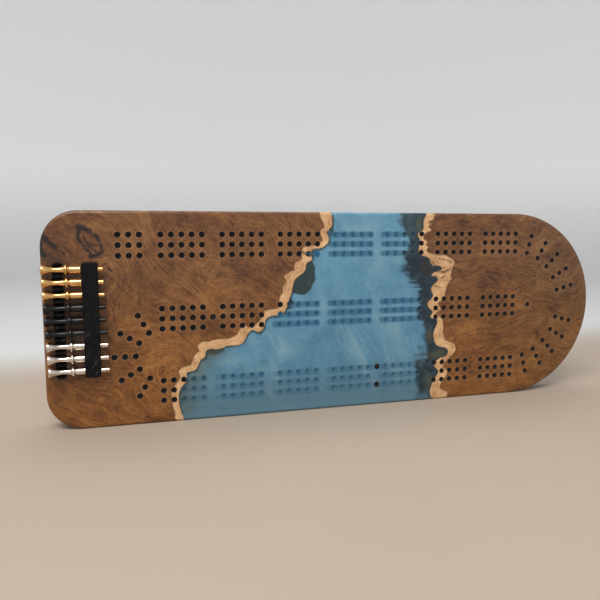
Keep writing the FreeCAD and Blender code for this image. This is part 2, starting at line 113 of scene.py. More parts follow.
# Long dark hairlines in the heartwood.
LEFT_STREAKS = [
    [(-157, 95), (-146, 83), (-132, 70)], [(-153, 96), (-141, 84), (-128, 73)],
    [(-129, 103), (-117, 90), (-104, 78)], [(-124, 103), (-112, 93), (-101, 81)],
    [(-93, 103.5), (-76, 97), (-60, 89), (-49, 83)], [(-88, 100), (-72, 93), (-56, 84)],
    [(-72, 99), (-60, 93), (-50, 87)], [(-82, 92), (-68, 87), (-58, 80)],
    [(-116, 58.5), (-109, 51), (-102.5, 44)], [(-108, 61), (-103, 56), (-97, 52)],
    [(-132, 26), (-125, 19), (-118, 13)], [(-150, 44), (-140, 34), (-133, 26)],
    [(-178, 96), (-168, 88), (-160, 77)], [(-120, 72), (-112, 66), (-106, 58)],
]
RIGHT_STREAKS = [
    [(74, 45), (86, 46.5), (99, 49), (112, 51), (127, 56), (143, 61.5)],
    [(90, 44), (103, 47), (118, 49.5), (133, 55)],
    [(76, 98), (88, 99), (100, 102), (112, 100)], [(80, 90), (92, 88), (106, 91), (120, 88)],
    [(76, 80), (90, 79), (104, 81), (120, 77), (134, 79)],
    [(100, 36), (114, 33), (128, 36), (140, 32)],
    [(82, 122), (96, 118), (108, 121)], [(84, 20), (100, 17), (118, 20)],
]
# Swirls of the figure: (x, z, how far they push the growth lines, spread).
LEFT_SWIRLS = [
    (-150, 62, 15, 13), (-112, 38, -17, 14), (-95, 90, 12, 12), (-72, 76, -9, 9),
    (-137, 12, 12, 12), (-172, 25, 14, 15), (-60, 120, -9, 12), (-122, 110, 12, 15),
    (-150, 100, -12, 13), (-92, 62, 8, 7), (-50, 95, 7, 8),
]
RIGHT_SWIRLS = [
    (165, 90, 17, 16), (150, 45, -15, 14), (105, 95, -9, 10), (92, 72, 8, 8), (118, 60, 9, 12),
    (180, 60, 13, 13), (120, 25, -10, 14), (95, 14, 8, 10), (140, 114, 9, 12), (85, 118, -7, 9),
]
# Lighter and darker patches of the wood's tone, with one painted shade on the left slab: (x, z,
# half width, half height, amount).
LEFT_PATCHES = [
    (-150, 80, 20, 11, -0.5), (-154, 50, 12, 14, -0.45), (-120, 45, 16, 11, 0.55),
    (-82, 82, 16, 8, 0.4), (-100, 59, 24, 5, -0.5), (-50, 98, 16, 8, -0.5), (-56, 76, 8, 7, 0.3),
    (-76, 68, 8, 6, -0.4), (-170, 18, 16, 10, -0.15), (-128, 8, 18, 8, 0.15),
    # The long patch at x -179, z 71 lies behind the resting pegs and is painted shade of the pegs,
    # not the wood's tone.
    (-166, 113, 9, 8, -0.7), (-185, 108, 12, 14, -0.6), (-179, 71, 14, 33, -0.55),
]
RIGHT_PATCHES = [
    (110, 82, 26, 10, -0.5), (100, 124, 34, 9, -0.5), (92, 97, 14, 7, 0.35), (90, 50, 12, 9, 0.4),
    (100, 9, 26, 9, 0.45), (128, 60, 18, 4, -0.3), (150, 110, 14, 8, 0.3), (118, 44, 16, 5, -0.2),
    (112, 70, 9, 5, -0.25), (85, 40, 9, 8, 0.3), (165, 88, 14, 10, 0.25),
]
# Where the dark band of the resin starts along the right slab: (z, x).
DARK_BAND = [
    (0, 50), (5, 51), (15, 53), (22, 53), (30, 57), (35, 58), (40, 57), (45, 54), (50, 56),
    (55, 55), (62, 50), (70, 52), (75, 50), (80, 52), (85, 49), (90, 44), (95, 41), (100, 39),
    (105, 39), (112, 43), (117, 40), (122, 37), (128, 35), (133, 34),
]
# A dark place with a clear outline beside the left slab.
DARK_BLOB = [
    (-28, 102), (-25.5, 97), (-25, 90), (-26.5, 85), (-29, 81), (-33, 78), (-38, 78.5), (-41, 80),
    (-46, 84), (-38, 97), (-32, 104),
]
# Dark, olive and brown places in the resin: (x, z, half width, half height).
DARK_SPOTS = [
    (-43, 74, 3, 4), (-94, 44, 6, 2.5), (-14.5, 126, 1.5, 8), (-64, 57, 3, 2), (47, 95, 9, 11),
    (55, 20, 6, 16), (-19.5, 117, 2.5, 4), (40, 127, 5, 5),
]
OLIVE_SPOTS = [
    (50, 125, 3.5, 9), (66, 33, 9, 5), (54, 117, 4, 6), (60, 47, 4, 5),
    (62, 12, 5, 8), (62, 70, 3, 5),
]
BROWN_SPOTS = [(56, 97, 6, 6), (-28, 105, 3, 3), (58, 91, 5, 4)]
# Pale haze in the resin: (x, z, half width, half height, amount).
PALE_PATCHES = [
    (6, 121, 11, 5, 0.55), (20, 97, 5, 9, 0.55), (-2, 110, 9, 2, 0.4), (34, 104, 6, 5, 0.45),
    (-44, 42, 8, 5, 0.5), (33, 55, 6, 12, 0.35), (-20, 70, 6, 3, 0.35), (-84, 37, 9, 3, 0.45),
    (20, 62, 5, 4, 0.3), (-62, 30, 9, 3, 0.3), (-48, 44, 3, 7, 0.35),
]

# Half profile of a peg: (distance from the head end, radius).
HEAD_PROFILE = [(0, 0), (0, 2.4), (0.4, 2.9), (0.8, 3), (1.6, 3), (1.9, 2.7), (2.3, 2.65)]
WAIST = (8.5, 1.4)
SHAFT_PROFILE = [
    (13.1, 2.1), (13.2, 2.9), (13.5, 3.1), (14.3, 3.1), (14.6, 2.9), (14.7, 2.3), (15.1, 1.9),
    (15.5, 1.9), (15.8, 2.2), (22, 2.2), (22.3, 1.9), (22.3, 1.4), (34.4, 1.4), (34.8, 1),
    (34.8, 0),
]


def hole_centres():
    """Centre of every hole as (x, z), in millimetres."""
    centres = []
    for street in (1, 0, -1):
        for lane in (1, 0, -1):
            z = MIDDLE_Z + street * STREET + lane * LANE
            for group in range(7):
                centres += [(FIRST_X + PITCH * (6 * group + place), z) for place in range(5)]
            if street == 1:
                centres += [(FIRST_X - PITCH * back, z) for back in (4, 3, 2)]
    turns = [(TURN_X, MIDDLE_Z, STREET, range(-75, 76, 15)),
             (FIRST_X, SMALL_TURN_Z, STREET / 2, range(120, 241, 30))]
    for x, z, spine, angles in turns:
        for angle in angles:
            if spine == STREET and angle == 0:
                continue
            turn = math.radians(angle)
            for lane in (-LANE, 0, LANE):
                reach = spine + lane
                centres.append((x + reach * math.cos(turn), z + reach * math.sin(turn)))
    centres.append((FIRST_X + 42 * PITCH, MIDDLE_Z))
    centres.append((FIRST_X + 5 * PITCH, MIDDLE_Z))
    double_x = FIRST_X + 23 * PITCH
    centres += [(double_x, MIDDLE_Z - STREET + lane) for lane in (LANE, -LANE)]
    return np.array(centres)


HOLES = hole_centres()


def tree_of(points):
    """Search tree of (x, z) points."""
    tree = KDTree(len(points))
    for index, (x, z) in enumerate(points):
        tree.insert((x, z, 0), index)
    tree.balance()
    return tree


def to_nearest(tree, points):
    """Distance from each (x, z) to the nearest point of a tree."""
    return np.array([tree.find((x, z, 0))[2] for x, z in points])


HOLE_TREE = tree_of(HOLES)
HOLE_FIELDS = {"mouth", "shadow", "sunk"}


def to_line(points, line):
    """Distance from each (x, z) to a polyline."""
    best = np.full(len(points), 1e9)
    for start, end in zip(line, line[1:]):
        start, along = np.array(start, float), np.subtract(end, start).astype(float)
        share = np.clip((points - start) @ along / (along @ along), 0, 1)
        gap = np.linalg.norm(points - start - share[:, None] * along, axis=1)
        best = np.minimum(best, gap)
    return best


def within(points, outline):
    """Whether each (x, z) lies inside a closed outline."""
    x, z = points.T
    inside = np.zeros(len(points), bool)
    for (x1, z1), (x2, z2) in zip(outline, outline[1:] + outline[:1]):
        if z1 == z2:
            continue
        crosses = (z1 > z) != (z2 > z)
        inside ^= crosses & (x < (x2 - x1) * (z - z1) / (z2 - z1) + x1)
    return inside


def spots(points, places):
    """1 in the middle of the nearest spot, 0 on its border and below 0 outside."""
    best = np.full(len(points), -9.0)
    for x, z, half_x, half_z in places:
        gap = np.hypot((points[:, 0] - x) / half_x, (points[:, 1] - z) / half_z)
        best = np.maximum(best, 1 - gap)
    return best


def welded(node):
    """Vertices in millimetres and triangles of a CAD node, joined where they meet."""
    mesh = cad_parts[node].data
    mesh.calc_loop_triangles()
    places = np.empty(len(mesh.vertices) * 3)
    mesh.vertices.foreach_get("co", places)
    corners = np.empty(len(mesh.loop_triangles) * 3, np.int32)
    mesh.loop_triangles.foreach_get("vertices", corners)
    places, where = np.unique(np.round(places.reshape(-1, 3) / MM, 4), axis=0, return_inverse=True)
    corners = where.ravel()[corners].reshape(-1, 3)
    a, b, c = corners.T
    return places, corners[(a != b) & (b != c) & (a != c)]


def edges_of(corners):
    """Every edge of these triangles once, and how many of them have it."""
    edges = np.concatenate([corners[:, [0, 1]], corners[:, [1, 2]], corners[:, [2, 0]]])
    edges = np.sort(edges, axis=1).astype(np.int64)
    count = edges.max() + 1
    keys, times = np.unique(edges[:, 0] * count + edges[:, 1], return_counts=True)
    return np.stack([keys // count, keys % count], axis=1), times


def border_of(corners):
    """Edges that only one of these triangles has."""
    unique, times = edges_of(corners)
    return unique[times == 1]


def halved(places, corners, longest=3.0):
    """Halve the edges round the board's rim until none is long when seen from the front.

    Fields are stored on vertices, so a long edge would show only what its ends hold. The inner
    edges of the front and the back stay, because swap_face cuts those faces again.
    """
    while True:
        recut_later = face_at(places, corners, FRONT_Y) | face_at(places, corners, BACK_Y)
        edges = edges_of(corners[~recut_later])[0]
        ends = places[edges]
        long = np.linalg.norm((ends[:, 0] - ends[:, 1])[:, [0, 2]], axis=1) > longest
        if not long.any():
            return places, corners
        first = len(places)
        middles = {tuple(edge): first + i for i, edge in enumerate(edges[long].tolist())}
        touched = np.isin(corners, np.unique(edges[long])).sum(axis=1) > 1
        places = np.concatenate([places, ends[long].mean(axis=1)])
        result = []
        for a, b, c in corners[touched].tolist():
            loop = []
            for start, end in ((a, b), (b, c), (c, a)):
                middle = middles.get((min(start, end), max(start, end)))
                loop += [start] if middle is None else [start, middle]
            if len(loop) > 3:
                turn = next(i for i, vertex in enumerate(loop) if vertex >= first)
                loop = loop[turn:] + loop[:turn]
            result += [[loop[0], loop[i], loop[i + 1]] for i in range(1, len(loop) - 1)]
        corners = np.concatenate([corners[~touched], np.array(result)])


def grid_points(low, high, spacing):
    """Points of a staggered grid of even triangles over a rectangle."""
    row_share = 0.87
    rows = np.arange(low[1] + spacing / 2, high[1], spacing * row_share)
    columns = np.arange(low[0] + spacing / 2, high[0], spacing)
    x, z = np.meshgrid(columns, rows)
    x[1::2] += spacing / 2
    return np.stack([x.ravel(), z.ravel()], axis=1)


def recut(places, corners, spacing, drilled, fine_lines=(), fine_spacing=0.6, fine_reach=2.5):
    """A flat face cut again into small even triangles, with its border kept.

    A drilled face stays open at the holes. Returns the (x, z) points, the vertex that each
    stands for (-1 for a new one) and the triangles.
    """
    clear_of_holes = HOLE_RADIUS + 0.25
    clear_of_rim = 0.45 * fine_spacing
    inside_hole = HOLE_RADIUS * 0.97
    edges = border_of(corners)
    rim = np.unique(edges)
    flat = places[rim][:, [0, 2]]
    low, high = flat.min(0), flat.max(0)
    inner = grid_points(low, high, spacing)
    if fine_lines:
        fine = grid_points(low, high, fine_spacing)
        near = [np.min([to_line(p, line) for line in fine_lines], axis=0) for p in (inner, fine)]
        inner = np.concatenate([inner[near[0] > fine_reach], fine[near[1] <= fine_reach]])
    if drilled:
        inner = inner[to_nearest(HOLE_TREE, inner) > clear_of_holes]
    inner = inner[to_nearest(tree_of(flat), inner) > clear_of_rim]
    index = {vertex: number for number, vertex in enumerate(rim)}
    joins = [(index[a], index[b]) for a, b in edges]
    cut = delaunay_2d_cdt([Vector(p) for p in np.concatenate([flat, inner])], joins, [], 1, 1e-6)
    points = np.array([tuple(p) for p in cut[0]])
    faces = np.array([face for face in cut[2] if len(face) == 3])
    if drilled:
        middle = points[faces].mean(axis=1)
        faces = faces[to_nearest(HOLE_TREE, middle) > inside_hole]
    source = [next((i for i in found if i < len(rim)), -1) for found in cut[3]]
    return points, [rim[i] if i >= 0 else -1 for i in source], faces


def new_mesh(name, places, faces, materials, numbers=None, fields=None, sharp=30):
    """A smooth-shaded object from millimetre points, with fields stored on its points."""
    used, faces_now = np.unique(faces, return_inverse=True)
    faces_now = faces_now.reshape(np.shape(faces))
    mesh = bpy.data.meshes.new(name)
    mesh.from_pydata((places[used] * MM).tolist(), [], faces_now.tolist())
    for material in materials:
        mesh.materials.append(material)
    if numbers is not None:
        mesh.polygons.foreach_set("material_index", numbers)
    for key, value in (fields or {}).items():
        layer = mesh.attributes.new(key, "FLOAT", "POINT")
        layer.data.foreach_set("value", np.asarray(value)[used].astype(np.float32))
    mesh.polygons.foreach_set("use_smooth", [True] * len(mesh.polygons))
    mesh.set_sharp_from_angle(angle=math.radians(sharp))
    mesh.update()
    made = bpy.data.objects.new(name, mesh)
    bpy.context.scene.collection.objects.link(made)
    weighted = made.modifiers.new("even_shading", "WEIGHTED_NORMAL")
    weighted.keep_sharp = True
    return made


def face_at(places, corners, y):
    """Which triangles lie in the plane at this y."""
    return (np.abs(places[corners][:, :, 1] - y) < 1e-3).all(axis=1)


def swap_face(places, corners, y, facing, spacing, **fine):
    """Replace the flat face at y by a recut one; facing is -1 for the front, 1 for the back."""
    flat = face_at(places, corners, y)
    points, source, faces = recut(places, corners[flat], spacing, facing < 0, **fine)
    x1, z1 = (points[faces[:, 1]] - points[faces[:, 0]]).T
    x2, z2 = (points[faces[:, 2]] - points[faces[:, 0]]).T
    turned = (x1 * z2 - z1 * x2) * -facing < 0
    faces[turned] = faces[turned][:, ::-1]
    added = np.stack([points[:, 0], np.full(len(points), y), points[:, 1]], axis=1)
    number = np.array([v if v >= 0 else len(places) + i for i, v in enumerate(source)])
    places = np.concatenate([places, added])
    return places, np.concatenate([corners[~flat], number[faces]])


def board_piece(name, node, materials, field_maker, fine_lines=(), spacing=1.25):
    """A finely cut copy of one board piece, riding with the board in place of its CAD node."""
    places, corners = halved(*welded(node))
    places, corners = swap_face(places, corners, FRONT_Y, -1, spacing, fine_lines=fine_lines)
    places, corners = swap_face(places, corners, BACK_Y, 1, spacing, fine_lines=fine_lines)
    flat = places[:, [0, 2]]
    reach = to_nearest(HOLE_TREE, flat)
    walled = (reach[corners] < HOLE_RADIUS + SLACK).all(axis=1)
    walled &= (places[corners][:, :, 1] < FRONT_Y + HOLE_DEPTH + SLACK).all(axis=1)
    fields = field_maker(flat)
    for key in HOLE_FIELDS & fields.keys():
        fields[key][places[:, 1] > FRONT_Y + SLACK] = NO_HOLE
    made = new_mesh(name, places, corners, materials, walled.astype(int), fields)
    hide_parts(node)
    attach(made, "board")
    return made


def live_edge_points():
    """Points along the border between wood and resin on the playing face."""
    places, corners = welded("resin_river")
    rim = np.unique(border_of(corners[face_at(places, corners, FRONT_Y)]))
    flat = places[rim][:, [0, 2]]
    straight = flat[:, 1] < BOTTOM_Z + ROUNDING + SLACK
    straight |= flat[:, 1] > TOP_Z - ROUNDING - SLACK
    return flat[~straight & (to_nearest(HOLE_TREE, flat) > HOLE_RADIUS + SLACK)]


EDGE_TREE = tree_of(live_edge_points())


def outline_gap(flat, outline):
    """Distance to a closed outline, positive inside it."""
    closed = outline + outline[:1]
    return np.where(within(flat, outline), 1, -1) * to_line(flat, closed)


def patches(flat, places):
    """Sum of soft lighter and darker patches."""
    total = np.zeros(len(flat))
    for x, z, half_x, half_z, amount in places:
        gap = ((flat[:, 0] - x) / half_x) ** 2 + ((flat[:, 1] - z) / half_z) ** 2
        total += amount * np.exp(-gap)
    return total


def paths_of(lines):
    """The points of each bark line, without its width."""
    return [points for width, points in lines]


def wood_fields(slope, swirls, sap_line, beyond, shades, streaks):
    """Maker of a slab's fields: growth lines, sapwood, live edge, bark and patches."""
    def make(flat):
        x, z = flat.T
        turn = math.radians(slope)
        ring = x * math.sin(turn) + z * math.cos(turn)
        for swirl_x, swirl_z, push, spread in swirls:
            ring += push * np.exp(-((x - swirl_x) ** 2 + (z - swirl_z) ** 2) / (2 * spread ** 2))
        side = np.where(within(flat, sap_line + [(beyond, -3), (beyond, 136)]), 1, -1)
        return {
            "ring": ring,
            "along": x * math.cos(turn) - z * math.sin(turn),
            "sap": side * to_line(flat, sap_line),
            "edge": to_nearest(EDGE_TREE, flat),
            "bark": np.min([to_line(flat, line) - width for width, line in BARK_LINES], axis=0),
            "mouth": to_nearest(HOLE_TREE, flat),
            "streak": np.min([to_line(flat, line) for line in streaks], axis=0),
            "shade": patches(flat, shades),
        }
    return make


def resin_fields(flat):
    """Fields of the resin: dark band and spots, tints, edge and hole shadows.

    The bores show through the resin as a shadow drawn out to the side of each mouth.
    """
    x, z = flat.T
    band_z, band_x = np.array(DARK_BAND).T
    band = x - np.interp(z, band_z, band_x)
    spot_depth = 5
    shifts = (0, 0.7, 1.4, 2.1, 2.8, 3.5)
    shadow = np.min([to_nearest(HOLE_TREE, flat + [shift, 0.3]) for shift in shifts], axis=0)
    return {
        "deep": np.maximum(band, spots(flat, DARK_SPOTS) * spot_depth),
        "blob": outline_gap(flat, DARK_BLOB),
        "olive": spots(flat, OLIVE_SPOTS),
        "brown": spots(flat, BROWN_SPOTS),
        "edge": to_nearest(EDGE_TREE, flat),
        "shadow": shadow,
        "sunk": to_nearest(HOLE_TREE, flat + [-0.15, 0.75]),
        "pale": patches(flat, PALE_PATCHES),
    }


class Nodes:
    """A material with short calls that add nodes to it and join them."""

    def __init__(self, name):
        self.material = bpy.data.materials.new(name)
        self.material.use_nodes = True
        self.tree = self.material.node_tree
        self.tree.nodes.clear()
        place = self.add("TexCoord").outputs["Object"]
        self.mm = self.add("VectorMath", {0: place, 3: 1 / MM}, operation="SCALE").outputs[0]

    def add(self, kind, inputs=(), **settings):
        """Add a node; inputs pair a socket's name or number with a value or an output."""
        made = self.tree.nodes.new("ShaderNode" + kind)
        for name, value in settings.items():
            setattr(made, name, value)
        for key, value in dict(inputs).items():
            socket = made.inputs[key]
            if isinstance(value, bpy.types.NodeSocket):
                self.tree.links.new(value, socket)
            elif socket.type == "RGBA":
                socket.default_value = (*value[:3], 1)
            else:
                socket.default_value = value
        return made

    def field(self, name):
        """A value stored on the mesh's vertices."""
        return self.add("Attribute", attribute_name=name).outputs["Fac"]

    def calc(self, operation, *values):
        """One Math node."""
        return self.add("Math", enumerate(values), operation=operation).outputs[0]

    def distance(self, a, b):
        """Length of the hypotenuse over a and b."""
        squares = self.total(self.calc("MULTIPLY", a, a), self.calc("MULTIPLY", b, b))
        return self.calc("SQRT", squares)

    def total(self, *values):
        """The sum of all values."""
        result = values[0]
        for value in values[1:]:
            result = self.calc("ADD", result, value)
        return result

    def noise(self, scale, detail=2, roughness=0.5, vector=None, distortion=0.0):
        """Noise of about 1 / scale millimetres a blob, from 0 to 1."""
        return self.add("TexNoise", {
            "Vector": vector or self.mm, "Scale": scale, "Detail": detail,
            "Roughness": roughness, "Distortion": distortion}).outputs[0]

    def wobble(self, scale, amount, detail=2, vector=None):
        """Noise from about -amount to amount."""
        usual_swing = 0.4
        centred = self.calc("SUBTRACT", self.noise(scale, detail, vector=vector), 0.5)
        return self.calc("MULTIPLY", centred, amount / usual_swing)

    def stretched(self, x, y, z):
        """A vector of three values, for noise that is longer one way than another."""
        return self.add("CombineXYZ", enumerate([x, y, z])).outputs[0]

    def step(self, value, low, high, start=0.0, end=1.0):
        """Smooth change from start to end as value goes from low to high."""
        return self.add("MapRange", {0: value, 1: low, 2: high, 3: start, 4: end},
                        interpolation_type="SMOOTHSTEP").outputs[0]

    def mix(self, factor, a, b, blend="MIX"):
        """Colour a, changed towards colour b as factor goes from 0 to 1."""
        return self.add("Mix", {0: factor, 6: a, 7: b}, data_type="RGBA",
                        blend_type=blend).outputs[2]

    def ramp(self, factor, stops):
        """A colour for each value, through (position, colour) stops."""
        made = self.add("ValToRGB", {0: factor})
        band = made.color_ramp
        while len(band.elements) < len(stops):
            band.elements.new(0.5)
        for element, (place, colour) in zip(band.elements, stops):
            element.position = place
            element.color = (*colour, 1)
        return made.outputs[0]

    def bump(self, height, depth, strength=1.0):
        """A normal from a height field whose full range is depth millimetres."""
        return self.add("Bump", {"Height": height, "Distance": depth * MM,
                                 "Strength": strength}).outputs[0]

    def surface(self, **inputs):
        """Finish the material with one Principled shader."""
        named = {key.replace("_", " "): value for key, value in inputs.items()}
        shader = self.add("BsdfPrincipled", named)
        self.add("OutputMaterial", {"Surface": shader.outputs[0]})
        return self.material


def wood_material():
    """Lacquered heartwood with swirling figure, pale sapwood and bark lines."""
    n = Nodes("figured_wood")
    x, y, z = n.add("SeparateXYZ", {0: n.mm}).outputs
    line = n.total(n.field("ring"), n.wobble(0.028, 8), n.wobble(0.09, 3.4, 3), n.wobble(0.33, 0.7))
    along = n.field("along")

    def grained(length, width, through, detail=3):
        place = [n.calc("MULTIPLY", value, scale) for value, scale in
                 [(along, 1 / length), (line, 1 / width), (y, 1 / through)]]
        return n.noise(1, detail, 0.6, n.stretched(*place), 0.25)

    broad = grained(22, 4.6, 20, 4)
    rings = n.step(grained(13, 1.0, 12, 2), 0.3, 0.7)
    fibre = grained(6, 0.7, 4)
    cloud = n.noise(0.065, 4, 0.6, distortion=1.4)
    curl = n.noise(0.40, 3, 0.6, distortion=2.2)
    calm = n.step(n.noise(0.045, 2), 0.35, 0.65, 0.35, 1.0)
    tone = n.total(
        n.calc("MULTIPLY", broad, 0.46), n.calc("MULTIPLY", cloud, 0.46),
        n.calc("MULTIPLY", n.calc("MULTIPLY", rings, calm), 0.16),
        n.calc("MULTIPLY", fibre, 0.46), n.calc("MULTIPLY", curl, 0.42),
        n.calc("MULTIPLY", n.field("shade"), 0.18), -0.465)
    heart = n.ramp(tone, [
        (0.12, (0.026, 0.009, 0.003)), (0.34, (0.086, 0.030, 0.009)),
        (0.50, (0.160, 0.062, 0.017)), (0.68, (0.245, 0.106, 0.033)),
        (0.88, (0.360, 0.180, 0.066))])
    warm = n.step(z, 15, 110)
    heart = n.mix(warm, n.mix(1.0, heart, (1.12, 1.07, 0.86), "MULTIPLY"),
                  n.mix(1.0, heart, (0.95, 0.99, 1.08), "MULTIPLY"))
    # Darker and cooler towards the right end: partly the wood's greyer tone there and partly a
    # painted falloff of the light.
    far_end_falloff = n.step(x, 95, 185, 0, 0.75)
    heart = n.mix(far_end_falloff, heart, n.mix(1.0, heart, (0.80, 0.93, 1.08), "MULTIPLY"))
    pores = n.step(grained(2.2, 0.28, 1.2, 1), 0.60, 0.70)
    heart = n.mix(n.calc("MULTIPLY", pores, 0.45), heart, (0.028, 0.012, 0.005))
    hair = n.step(n.total(n.field("streak"), n.wobble(0.4, 0.4)), 0.05, 0.75, 1, 0)
    faded = n.step(n.noise(0.16, 2), 0.36, 0.6, 0.1, 0.65)
    heart = n.mix(n.calc("MULTIPLY", hair, faded), heart, (0.030, 0.012, 0.006))

    mouth = n.field("mouth")
    halo = n.calc("MULTIPLY", n.step(mouth, 1.9, 2.15), n.step(mouth, 2.3, 3.0, 0.20, 0))
    heart = n.mix(halo, heart, (0.36, 0.19, 0.080))

    edge = n.field("edge")
    sap = n.total(n.field("sap"), n.wobble(0.22, 0.8), n.wobble(0.9, 0.28))
    drift = n.total(edge, n.wobble(0.12, 3.0), n.wobble(0.5, 0.8))
    bands = n.calc("SINE", n.calc("MULTIPLY", drift, 2.6))
    pale = n.ramp(n.total(n.calc("MULTIPLY", bands, 0.07), n.calc("MULTIPLY", fibre, 0.60),
                          n.calc("MULTIPLY", n.noise(0.12, 4), 1.05), -0.32), [
        (0.2, (0.29, 0.145, 0.062)), (0.5, (0.53, 0.310, 0.148)), (0.8, (0.68, 0.45, 0.245))])
    body = n.mix(n.step(sap, -0.5, 0.5), heart, pale)
    rim = n.step(n.calc("ABSOLUTE", n.total(sap, 0.35)), 0.1, 1.1, 1, 0)
    body = n.mix(n.calc("MULTIPLY", rim, 0.5), body, (0.10, 0.040, 0.015))
    skin = n.step(n.total(edge, n.wobble(0.6, 0.35)), 0.1, 0.75, 1, 0)
    body = n.mix(n.calc("MULTIPLY", skin, 0.75), body, (0.055, 0.032, 0.020))
    torn = n.total(n.field("bark"), n.wobble(0.20, 1.1), n.wobble(0.6, 0.5), n.wobble(1.6, 0.35))
    broken = n.step(n.noise(0.25, 2), 0.3, 0.5, 0.55, 1)
    crack = n.calc("MULTIPLY", n.step(torn, -0.1, 1.2, 1, 0), broken)
    body = n.mix(n.calc("MULTIPLY", crack, 0.93), body, (0.004, 0.004, 0.004))

    height = n.total(n.calc("MULTIPLY", fibre, 0.6), n.calc("MULTIPLY", pores, -0.6),
                     n.calc("MULTIPLY", crack, -1.0))
    gloss = n.noise(0.3, 3)
    return n.surface(
        Base_Color=body, Roughness=n.step(gloss, 0.3, 0.7, 0.38, 0.55),
        Specular_IOR_Level=0.25, Normal=n.bump(height, 0.06),
        Coat_Weight=0.38, Coat_Roughness=n.step(gloss, 0.35, 0.7, 0.10, 0.20),
        Coat_Normal=n.bump(n.noise(0.14, 2), 0.03))


def bore_material():
    """Hole walls in the wood, painted near-black as shade in the bores, with a faint painted glow.
    """
    n = Nodes("drilled_wood")
    x, y, z = n.add("SeparateXYZ", {0: n.mm}).outputs
    turned = n.stretched(n.calc("MULTIPLY", x, 0.3), n.calc("MULTIPLY", y, 3.5),
                         n.calc("MULTIPLY", z, 0.3))
    marks = n.noise(1, 3, 0.6, turned)
    colour = n.ramp(marks, [(0.3, (0.012, 0.008, 0.006)), (0.7, (0.045, 0.027, 0.017))])
    # Painted shade: the walls are far darker than the wood. The weak emission is a painted glow.
    return n.surface(Base_Color=colour, Roughness=0.75, Emission_Color=(0.9, 0.92, 1.0),
                     Emission_Strength=0.010, Normal=n.bump(marks, 0.05))


def resin_ink(n, x, z):
    """The dark that shows through the resin: how much, its colour and its olive tint."""
    band = n.field("deep")
    fingers = n.stretched(n.calc("MULTIPLY", z, 0.34), n.calc("MULTIPLY", band, 0.09), 0.0)
    deep = n.total(band, n.wobble(0.11, 2.8, 3), n.wobble(0.4, 1.4, 3),
                   n.wobble(1, 2.6, 2, fingers))
    blob = n.step(n.total(n.field("blob"), n.wobble(0.3, 0.9)), -0.5, 0.9)
    depth = n.calc("MAXIMUM", n.step(deep, -1.6, 2.2), blob)
    tone = n.total(n.noise(0.16, 4, 0.6), n.step(z, 45, 75, 0.10, 0.0),
                   n.step(z, 96, 116, 0.0, 0.16))
    ink = n.ramp(tone, [(0.40, (0.005, 0.010, 0.021)), (0.58, (0.012, 0.025, 0.036)),
                        (0.78, (0.040, 0.072, 0.080))])
    olive = n.step(n.total(n.field("olive"), n.wobble(0.15, 0.3)), -0.1, 0.7)
    thin = n.step(n.total(n.field("edge"), n.wobble(0.10, 5, 3)), -1, 19, 1, 0)
    olive = n.calc("MAXIMUM", olive, n.calc("MULTIPLY", thin, n.step(x, -96, -72, 0.95, 0)))
    brown = n.step(n.total(n.field("brown"), n.wobble(0.15, 0.3)), -0.1, 0.6)
    flecks = n.step(n.noise(0.45, 3), 0.54, 0.66)
    moss = n.mix(n.calc("MULTIPLY", flecks, 0.7), (0.015, 0.034, 0.034), (0.060, 0.058, 0.028))
    ink = n.mix(n.calc("MULTIPLY", blob, 0.85), ink, moss)
    ink = n.mix(n.calc("MULTIPLY", olive, 0.75), ink, (0.066, 0.068, 0.042))
    ink = n.mix(n.calc("MULTIPLY", brown, 0.85), ink, (0.024, 0.011, 0.008))
    return n.calc("MULTIPLY", depth, 0.97), ink, olive


